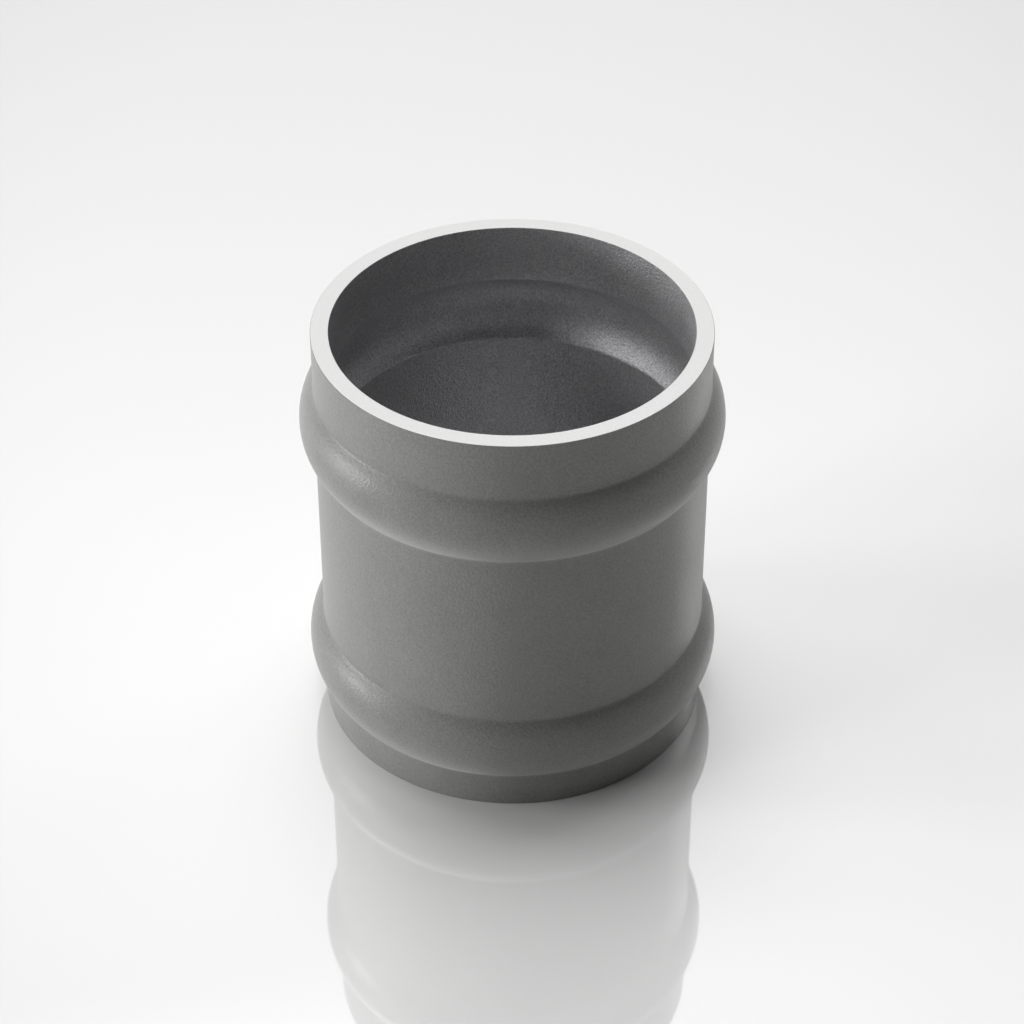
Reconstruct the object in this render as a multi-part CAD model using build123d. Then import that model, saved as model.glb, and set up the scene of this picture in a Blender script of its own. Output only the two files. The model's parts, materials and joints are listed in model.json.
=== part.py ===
from build123d import *
import os

# Downpipe socket: a one-piece cast sleeve that joins two lengths of round downpipe.
# The plain tube carries two hollow beads. Each bead stands proud outside and leaves
# a matching groove in the bore, where a ring seal or a bead of caulk goes.
# The socket stands on its foot, and its axis is +Z. The origin is the middle of the foot.

# Driving dimensions, in millimetres
bore_diameter = 80.0  # clear hole, for a 76 mm downpipe
wall = 4.0  # thickness of the plain tube
lower_land = 8.5  # plain collar from the foot to the lower bead
barrel = 45.0  # plain tube from the lower bead to the upper one
upper_land = 14.0  # plain collar from the upper bead to the mouth
bead_width = 16.5  # each bead along the axis, where it leaves the tube
bead_rise = 3.3  # each bead above the tube, and the depth of its groove
bead_blend = 1.5  # fillet where a bead or its groove runs into the tube
edge_break = 0.1  # chamfer on the inner and outer edge of foot and mouth

# Sizes that follow
bore_radius = bore_diameter / 2
outer_radius = bore_radius + wall
lower_bead_foot = lower_land
upper_bead_foot = lower_land + bead_width + barrel
length = upper_bead_foot + bead_width + upper_land


def bead_arc(radius, foot):
    """Round arc of one bead, which leaves a wall of this radius at the height foot."""
    return ThreePointArc(
        (radius, foot),
        (radius + bead_rise, foot + bead_width / 2),
        (radius, foot + bead_width),
    )


def wall_line(radius):
    """One face of the wall in section, from the foot up to the mouth."""
    lower_bead = bead_arc(radius, lower_bead_foot)
    upper_bead = bead_arc(radius, upper_bead_foot)
    return [
        Line((radius, 0), lower_bead @ 0),
        lower_bead,
        Line(lower_bead @ 1, upper_bead @ 0),
        upper_bead,
        Line(upper_bead @ 1, (radius, length)),
    ]


def wall_section():
    """Closed section of the wall, drawn with the radius along X and the height along Y."""
    foot = Line((bore_radius, 0), (outer_radius, 0))
    mouth = Line((bore_radius, length), (outer_radius, length))
    outline = wall_line(outer_radius) + wall_line(bore_radius) + [foot, mouth]
    section = make_face(outline)
    bead_ends = section.vertices().group_by(Axis.Y)[1:-1]
    section = fillet([vertex for level in bead_ends for vertex in level], bead_blend)
    levels = section.vertices().group_by(Axis.Y)
    return chamfer(levels[0] + levels[-1], edge_break)


def make_socket():
    """The socket as one solid, turned from its section."""
    return revolve(Plane.XZ * wall_section(), Axis.Z)


socket = make_socket()
socket.label = "socket"

os.makedirs("parts", exist_ok=True)
export_step(socket, "parts/socket.step")
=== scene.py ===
import json
from math import atan2, cos, radians, sin, sqrt, tau

import bmesh
import bpy
from mathutils import Matrix, Vector, noise


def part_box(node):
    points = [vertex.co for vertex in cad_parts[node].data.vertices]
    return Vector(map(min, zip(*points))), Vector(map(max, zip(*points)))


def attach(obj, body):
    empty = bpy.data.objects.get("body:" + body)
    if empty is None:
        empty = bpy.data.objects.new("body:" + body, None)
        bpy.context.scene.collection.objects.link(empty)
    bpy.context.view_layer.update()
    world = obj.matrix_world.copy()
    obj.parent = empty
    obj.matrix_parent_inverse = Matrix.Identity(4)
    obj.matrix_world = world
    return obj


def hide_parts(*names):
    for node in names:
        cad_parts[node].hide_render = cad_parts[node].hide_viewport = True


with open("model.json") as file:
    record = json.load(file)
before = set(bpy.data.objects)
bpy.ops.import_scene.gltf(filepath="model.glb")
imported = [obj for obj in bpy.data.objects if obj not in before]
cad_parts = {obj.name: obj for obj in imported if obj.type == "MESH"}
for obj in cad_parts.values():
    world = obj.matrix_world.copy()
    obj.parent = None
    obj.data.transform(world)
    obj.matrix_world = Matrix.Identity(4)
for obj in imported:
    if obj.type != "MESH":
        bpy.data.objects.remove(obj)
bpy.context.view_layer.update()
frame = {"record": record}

MM = 0.001

# Sizes of the socket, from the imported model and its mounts
MOUNTS = {mount["name"]: mount for mount in frame["record"]["mounts"]}
SOCKET_LOW, SOCKET_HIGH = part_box("socket")
LENGTH = SOCKET_HIGH.z - SOCKET_LOW.z
BORE_RADIUS = MOUNTS["upper_bore"]["dims"]["r_mm"] * MM
TUBE_RADIUS = MOUNTS["bracket_seat"]["dims"]["r_mm"] * MM
BARREL_LENGTH = MOUNTS["bracket_seat"]["dims"]["length_mm"] * MM
BARREL_MIDDLE = MOUNTS["bracket_seat"]["pos_m"][2]
BEAD_RISE = SOCKET_HIGH.x - TUBE_RADIUS
BEAD_WIDTH = 16.5 * MM
BEAD_BLEND = 1.5 * MM
EDGE_BREAK = 0.1 * MM
LOWER_BEAD = BARREL_MIDDLE - (BARREL_LENGTH + BEAD_WIDTH) / 2
UPPER_BEAD = BARREL_MIDDLE + (BARREL_LENGTH + BEAD_WIDTH) / 2

# Fineness of the mesh
COLUMNS = 384
LONGEST_STEP = 1.5 * MM
LARGEST_TURN = radians(4.5)
SCAN_STEP = 0.02 * MM
RIM_RINGS = 6
SHARP_EDGE = radians(25)

# Slow swells of the cast wall under its coat, always into the metal
SWELL_DEPTH = 0.03 * MM
SWELL_SIZE = 14 * MM

# Material slots of the casting
COAT_SLOT, RIM_SLOT, BORE_SLOT = range(3)


def bead_height(distance):
    """Height of a bead over the plain wall, at this distance along the axis from its middle."""
    half_width = BEAD_WIDTH / 2
    arc = (half_width**2 + BEAD_RISE**2) / (2 * BEAD_RISE)
    centre_depth = arc - BEAD_RISE
    blend_start = sqrt((arc + BEAD_BLEND) ** 2 - (centre_depth + BEAD_BLEND) ** 2)
    blend_end = blend_start * arc / (arc + BEAD_BLEND)
    if distance <= blend_end:
        return sqrt(arc**2 - distance**2) - centre_depth
    if distance < blend_start:
        return BEAD_BLEND - sqrt(BEAD_BLEND**2 - (blend_start - distance) ** 2)
    return 0.0


def wall_radius(face_radius, height):
    """Radius of one face of the wall at a height, beads or their grooves included."""
    return face_radius + bead_height(min(abs(height - LOWER_BEAD), abs(height - UPPER_BEAD)))


def wall_points(face_radius):
    """Points (radius, height) up one face, closer together where the line turns."""
    start, end = EDGE_BREAK, LENGTH - EDGE_BREAK
    points = [(wall_radius(face_radius, start), start)]
    last_turn = 0.0
    steps = round((end - start) / SCAN_STEP)
    for step in range(1, steps):
        height = start + (end - start) * step / steps
        radius = wall_radius(face_radius, height)
        ahead = wall_radius(face_radius, height + SCAN_STEP)
        turn = atan2(ahead - radius, SCAN_STEP)
        if height - points[-1][1] >= LONGEST_STEP or abs(turn - last_turn) >= LARGEST_TURN:
            points.append((radius, height))
            last_turn = turn
    points.append((wall_radius(face_radius, end), end))
    return points


def rim_points(height):
    """Points across a rim's flat face, from the bore outwards."""
    inner, outer = BORE_RADIUS + EDGE_BREAK, TUBE_RADIUS - EDGE_BREAK
    return [(inner + (outer - inner) * ring / RIM_RINGS, height) for ring in range(RIM_RINGS + 1)]


def section():
    """Closed outline of the wall as points (radius, height), and the slot that each belongs to."""
    runs = [
        (COAT_SLOT, wall_points(TUBE_RADIUS)),
        (RIM_SLOT, rim_points(LENGTH)[::-1]),
        (BORE_SLOT, wall_points(BORE_RADIUS)[::-1]),
        (RIM_SLOT, rim_points(0.0)),
    ]
    outline = [point for _, points in runs for point in points]
    slots = [slot for slot, points in runs for _ in points]
    return outline, slots


def relief(point, normal):
    """A wall point moved into the metal by the casting's slow swells."""
    swell = 0.5 + 0.5 * noise.noise(point / SWELL_SIZE)
    return point - normal * SWELL_DEPTH * swell


def ring_points(outline, row, cast):
    """Points round one ring of the casting, with relief if its face is cast."""
    radius, height = outline[row]
    before, after = outline[row - 1], outline[(row + 1) % len(outline)]
    along = Vector((after[0] - before[0], after[1] - before[1])).normalized()
    on_wall = cast and EDGE_BREAK < height < LENGTH - EDGE_BREAK
    points = []
    for column in range(COLUMNS):
        angle = tau * column / COLUMNS
        point = Vector((radius * cos(angle), radius * sin(angle), height))
        if on_wall:
            normal = Vector((along.y * cos(angle), along.y * sin(angle), -along.x))
            point = relief(point, normal)
        points.append(point)
    return points


def make_casting():
    """The socket as one closed mesh turned from its section. Its edge breaks carry the coat."""
    outline, slots = section()
    mesh = bmesh.new()
    rings = [
        [mesh.verts.new(point) for point in ring_points(outline, row, slots[row] != RIM_SLOT)]
        for row in range(len(outline))
    ]
    for row, ring in enumerate(rings):
        next_row = (row + 1) % len(rings)
        next_ring = rings[next_row]
        slot = slots[row] if slots[row] == slots[next_row] else COAT_SLOT
        for column in range(COLUMNS):
            beside = (column + 1) % COLUMNS
            corners = (ring[column], ring[beside], next_ring[beside], next_ring[column])
            face = mesh.faces.new(corners)
            face.smooth = True
            face.material_index = slot
    data = bpy.data.meshes.new("socket_casting")
    mesh.to_mesh(data)
    mesh.free()
    data.set_sharp_from_angle(angle=SHARP_EDGE)
    casting = bpy.data.objects.new("socket_casting", data)
    bpy.context.scene.collection.objects.link(casting)
    return casting


def feed(tree, value, socket):
    """A value into a socket: linked if it comes from a node, and otherwise set."""
    if isinstance(value, bpy.types.NodeSocket):
        tree.links.new(value, socket)
    else:
        socket.default_value = value


def computed(tree, operation, *operands):
    """Result of a math node on sockets or numbers."""
    node = tree.nodes.new("ShaderNodeMath")
    node.operation = operation
    for operand, socket in zip(operands, node.inputs):
        feed(tree, operand, socket)
    return node.outputs["Value"]


def spread(tree, value, source, target, interpolation="LINEAR"):
    """The value's range source (from, to), mapped to the range target."""
    node = tree.nodes.new("ShaderNodeMapRange")
    node.interpolation_type = interpolation
    node.inputs["From Min"].default_value, node.inputs["From Max"].default_value = source
    node.inputs["To Min"].default_value, node.inputs["To Max"].default_value = target
    tree.links.new(value, node.inputs["Value"])
    return node.outputs["Result"]


def vertical(tree, vector):
    """The Z part of a vector."""
    node = tree.nodes.new("ShaderNodeSeparateXYZ")
    tree.links.new(vector, node.inputs["Vector"])
    return node.outputs["Z"]


# Range that noise seldom leaves
NOISE_RANGE = (0.3, 0.7)


def noise_value(tree, place, size, detail, roughness=0.5):
    """Noise from 0 to 1 with features of about this size."""
    node = tree.nodes.new("ShaderNodeTexNoise")
    node.inputs["Scale"].default_value = 1 / size
    node.inputs["Detail"].default_value = detail
    node.inputs["Roughness"].default_value = roughness
    tree.links.new(place, node.inputs["Vector"])
    return node.outputs["Fac"]


def bump(tree, height, distance):
    """A bump whose full range of height is this distance."""
    node = tree.nodes.new("ShaderNodeBump")
    node.inputs["Distance"].default_value = distance
    tree.links.new(height, node.inputs["Height"])
    return node.outputs["Normal"]


def tinted(tree, colour, factor):
    """A colour made lighter or darker by a factor that varies over the surface."""
    node = tree.nodes.new("ShaderNodeVectorMath")
    node.operation = "SCALE"
    node.inputs[0].default_value = colour
    tree.links.new(factor, node.inputs["Scale"])
    return node.outputs["Vector"]


def new_material(name):
    """An empty node material, its node tree, its Principled shader and its object coordinates."""
    material = bpy.data.materials.new(name)
    material.use_nodes = True
    tree = material.node_tree
    shader = tree.nodes["Principled BSDF"]
    place = tree.nodes.new("ShaderNodeTexCoord").outputs["Object"]
    return material, tree, shader, place


# Grain and mottle that coat and bore share
GRAIN_SIZE = 0.5 * MM
MOTTLE_SIZE = 9 * MM
MOTTLE_TONE = (0.97, 1.03)
GLOSS_SPREAD = 0.03


def sprayed_surface(tree, shader, place, roughness, grain_height, grain_tone):
    """Grain and slightly uneven gloss of a sprayed surface. Returns the tone that its colour takes."""
    grain = noise_value(tree, place, GRAIN_SIZE, detail=1.5, roughness=0.55)
    mottle = noise_value(tree, place, MOTTLE_SIZE, detail=3.0)
    gloss = spread(tree, mottle, NOISE_RANGE, (roughness - GLOSS_SPREAD, roughness + GLOSS_SPREAD))
    tree.links.new(gloss, shader.inputs["Roughness"])
    tree.links.new(bump(tree, grain, grain_height), shader.inputs["Normal"])
    grain_shade = spread(tree, grain, NOISE_RANGE, (1 - grain_tone, 1 + grain_tone))
    return computed(tree, "MULTIPLY", grain_shade, spread(tree, mottle, NOISE_RANGE, MOTTLE_TONE))


COAT_COLOUR = (0.170, 0.170, 0.163)
COAT_ROUGHNESS = 0.38
COAT_SHINE = 0.28
COAT_SHEEN = 0.3
COAT_GRAIN_HEIGHT = 0.09 * MM
COAT_GRAIN_TONE = 0.15


def coat_material():
    """Satin grey sprayed coat with a fine sandy grain."""
    material, tree, shader, place = new_material("textured_grey_coat")
    tone = sprayed_surface(tree, shader, place, COAT_ROUGHNESS, COAT_GRAIN_HEIGHT, COAT_GRAIN_TONE)
    tree.links.new(tinted(tree, COAT_COLOUR, tone), shader.inputs["Base Color"])
    shader.inputs["Specular IOR Level"].default_value = COAT_SHINE
    shader.inputs["Sheen Weight"].default_value = COAT_SHEEN
    return material


BORE_COLOUR = (0.44, 0.435, 0.446)
BORE_METALLIC = 0.6
BORE_ROUGHNESS = 0.42
BORE_GRAIN_HEIGHT = 0.21 * MM
BORE_GRAIN_TONE = 0.24

# Mist of the coat: its tone at the mouths, and where it starts and is full, from mid length
MIST_TONE = 0.84
MIST_REACH = (34 * MM, 42 * MM)

# Painted light on up-facing slopes: its tone, and how far up a slope has to face to take some and all
# of it
SLOPE_LIGHT_TONE = 1.45
SLOPE_LIGHT_FACING = (0.05, 0.55)


def mouth_mist(tree, place):
    """Factor that darkens the bore towards both mouths, where a mist of the coat has blown in."""
    from_middle = computed(tree, "SUBTRACT", vertical(tree, place), LENGTH / 2)
    distance = computed(tree, "ABSOLUTE", from_middle)
    return spread(tree, distance, MIST_REACH, (1.0, MIST_TONE), "SMOOTHSTEP")


def painted_slope_light(tree):
    """Factor that lightens the groove slopes that face up: painted light, where the bore's shade would
    fall on them.
    """
    facing = vertical(tree, tree.nodes.new("ShaderNodeTexCoord").outputs["Normal"])
    return spread(tree, facing, SLOPE_LIGHT_FACING, (1.0, SLOPE_LIGHT_TONE), "SMOOTHSTEP")


def bore_material():
    """Bare cast skin of the bore, sandy and half metallic."""
    material, tree, shader, place = new_material("bore_skin")
    tone = sprayed_surface(tree, shader, place, BORE_ROUGHNESS, BORE_GRAIN_HEIGHT, BORE_GRAIN_TONE)
    tone = computed(tree, "MULTIPLY", tone, mouth_mist(tree, place))
    # painted light: the bore's up-facing groove slopes are made lighter
    tone = computed(tree, "MULTIPLY", tone, painted_slope_light(tree))
    tree.links.new(tinted(tree, BORE_COLOUR, tone), shader.inputs["Base Color"])
    shader.inputs["Metallic"].default_value = BORE_METALLIC
    return material


RIM_COLOUR = (0.67, 0.67, 0.665)
RIM_METALLIC = 0.15
RIM_ROUGHNESS = 0.6
RIM_SPECK_SIZE = 0.5 * MM
RIM_SPECK_HEIGHT = 0.03 * MM
RIM_SPECK_TONE = (0.93, 1.05)


def rim_material():
    """Bare aluminium at the rims, faced and lightly blasted, so that it is bright and matt."""
    material, tree, shader, place = new_material("bare_faced_rim")
    speck = noise_value(tree, place, RIM_SPECK_SIZE, detail=3.0, roughness=0.7)
    tone = spread(tree, speck, NOISE_RANGE, RIM_SPECK_TONE)
    tree.links.new(tinted(tree, RIM_COLOUR, tone), shader.inputs["Base Color"])
    tree.links.new(bump(tree, speck, RIM_SPECK_HEIGHT), shader.inputs["Normal"])
    shader.inputs["Metallic"].default_value = RIM_METALLIC
    shader.inputs["Roughness"].default_value = RIM_ROUGHNESS
    return material


FLOOR_SIZE = 12.0
FLOOR_COLOUR = (0.90, 0.90, 0.90, 1)
MIRROR_COLOUR = (1, 1, 1, 1)
MIRROR_ROUGHNESS = 0.03
MIRROR_SHARE = 0.42


def floor_material():
    """White floor whose polished top mirrors what stands on it."""
    material = bpy.data.materials.new("polished_white")
    material.use_nodes = True
    tree = material.node_tree
    tree.nodes.clear()
    matt = tree.nodes.new("ShaderNodeBsdfDiffuse")
    matt.inputs["Color"].default_value = FLOOR_COLOUR
    mirror = tree.nodes.new("ShaderNodeBsdfGlossy")
    mirror.inputs["Color"].default_value = MIRROR_COLOUR
    mirror.inputs["Roughness"].default_value = MIRROR_ROUGHNESS
    mixed = tree.nodes.new("ShaderNodeMixShader")
    mixed.inputs["Fac"].default_value = MIRROR_SHARE
    output = tree.nodes.new("ShaderNodeOutputMaterial")
    tree.links.new(matt.outputs["BSDF"], mixed.inputs[1])
    tree.links.new(mirror.outputs["BSDF"], mixed.inputs[2])
    tree.links.new(mixed.outputs["Shader"], output.inputs["Surface"])
    return material


def make_floor():
    """Plain floor at the socket's foot, wide enough to fill the view from any side."""
    half = FLOOR_SIZE / 2
    corners = [(-half, -half, 0), (half, -half, 0), (half, half, 0), (-half, half, 0)]
    data = bpy.data.meshes.new("floor")
    data.from_pydata(corners, [], [(0, 1, 2, 3)])
    data.materials.append(floor_material())
    floor = bpy.data.objects.new("floor", data)
    bpy.context.scene.collection.objects.link(floor)
    return floor


def direction(azimuth, elevation):
    """Unit vector towards a place in the studio. Azimuth 0 is +Y, and 90 is +X."""
    a, e = radians(azimuth), radians(elevation)
    return Vector((sin(a) * cos(e), cos(a) * cos(e), sin(e)))


# Soft lights of the studio: azimuth, elevation and radius in degrees, then radiance
LEFT_LOW = (-90, 3, 12, 43.0)
LEFT_FRONT_LOW = (-116, 6, 20, 1.7)
LEFT_FRONT = (-111, 29, 12, 11.0)
LEFT_MIDDLE = (-90, 37, 12, 6.9)
LEFT_BACK = (-60, 45, 14, 4.6)
OVERHEAD = (-11, 71, 25, 5.2)
OVERHEAD_CORE = (-11, 80, 9, 10.6)
BACK = (-12, 62, 50, 0.65)
BACK_LOW = (0, 35, 22, 0.27)
RIGHT_BACK = (48, 35, 14, 3.2)
RIGHT = (82, 20, 25, 0.7)
LEFT_LIGHTS = (LEFT_LOW, LEFT_FRONT_LOW, LEFT_FRONT, LEFT_MIDDLE, LEFT_BACK)
OTHER_LIGHTS = (OVERHEAD, OVERHEAD_CORE, BACK, BACK_LOW, RIGHT_BACK, RIGHT)
FULL_SHARE = 1 / 3

# Pale haze that fades upwards from the horizon, for mirrors and low views
HAZE_RADIANCE = 0.8
HAZE_TOP = 0.42


def soft_light(tree, towards, azimuth, elevation, radius, radiance):
    """A round soft light of the surroundings: full in its middle third, and fading to its radius."""
    toward_light = tree.nodes.new("ShaderNodeVectorMath")
    toward_light.operation = "DOT_PRODUCT"
    toward_light.inputs[1].default_value = direction(azimuth, elevation)
    tree.links.new(towards, toward_light.inputs[0])
    angle = computed(tree, "ARCCOSINE", toward_light.outputs["Value"])
    fade = (radians(radius), radians(radius) * FULL_SHARE)
    return spread(tree, angle, fade, (0.0, radiance), "SMOOTHSTEP")


def soft_lights(tree, towards, lights):
    """The summed radiance of several soft lights."""
    total = 0.0
    for light in lights:
        total = computed(tree, "ADD", total, soft_light(tree, towards, *light))
    return total


def seen_or_mirrored(tree):
    """1 where the camera, a mirror or a lens looks at the studio, and 0 where it lights a surface."""
    path = tree.nodes.new("ShaderNodeLightPath")
    seen = computed(tree, "ADD", path.outputs["Is Camera Ray"], path.outputs["Is Glossy Ray"])
    return computed(tree, "ADD", seen, path.outputs["Is Transmission Ray"])


def make_world():
    """Dark studio with soft lights, the strongest at the left and overhead.

    The left ones stand so low that the polished floor would mirror them as a glaring disc
    in views from the right. So they are hidden from mirrors, which show the haze instead.
    """
    world = bpy.data.worlds.new("studio")
    world.use_nodes = True
    tree = world.node_tree
    towards = tree.nodes.new("ShaderNodeTexCoord").outputs["Generated"]
    seen = seen_or_mirrored(tree)
    fade = spread(tree, vertical(tree, towards), (HAZE_TOP, 0.0), (0.0, HAZE_RADIANCE), "SMOOTHSTEP")
    haze = computed(tree, "MULTIPLY", fade, seen)
    unseen = computed(tree, "SUBTRACT", 1.0, seen)
    hidden = computed(tree, "MULTIPLY", soft_lights(tree, towards, LEFT_LIGHTS), unseen)
    shown = soft_lights(tree, towards, OTHER_LIGHTS)
    total = computed(tree, "ADD", computed(tree, "ADD", haze, hidden), shown)
    background = tree.nodes["Background"]
    background.inputs["Color"].default_value = (1, 1, 1, 1)
    tree.links.new(total, background.inputs["Strength"])
    bpy.context.scene.world = world


# Camera, worked out from the photo's outlines
IMAGE_PIXELS = 1024
SENSOR_MM = 36
FOCAL_PIXELS = 2951.2
CAMERA_PITCH = 37.72
CAMERA_BACK = 532.3 * MM
CAMERA_HEIGHT = 461.2 * MM
CAMERA_SIDE = -0.126 * MM
CAMERA_ROLL = -0.086
NEAREST_SEEN = 10 * MM


def make_camera():
    """Long lens that looks down at the socket from the front."""
    data = bpy.data.cameras.new("photo_camera")
    data.sensor_width = SENSOR_MM
    data.lens = FOCAL_PIXELS / IMAGE_PIXELS * SENSOR_MM
    data.clip_start = NEAREST_SEEN
    camera = bpy.data.objects.new("photo_camera", data)
    place = Matrix.Translation((CAMERA_SIDE, -CAMERA_BACK, CAMERA_HEIGHT))
    pitch = Matrix.Rotation(radians(90 - CAMERA_PITCH), 4, "X")
    roll = Matrix.Rotation(radians(CAMERA_ROLL), 4, "Z")
    camera.matrix_world = place @ pitch @ roll
    bpy.context.scene.collection.objects.link(camera)
    bpy.context.scene.camera = camera
    return camera


casting = make_casting()
for material in (coat_material(), rim_material(), bore_material()):
    casting.data.materials.append(material)
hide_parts("socket")
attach(casting, "root")

make_floor()
make_world()
make_camera()

scene = bpy.context.scene
scene.view_settings.view_transform = "Standard"
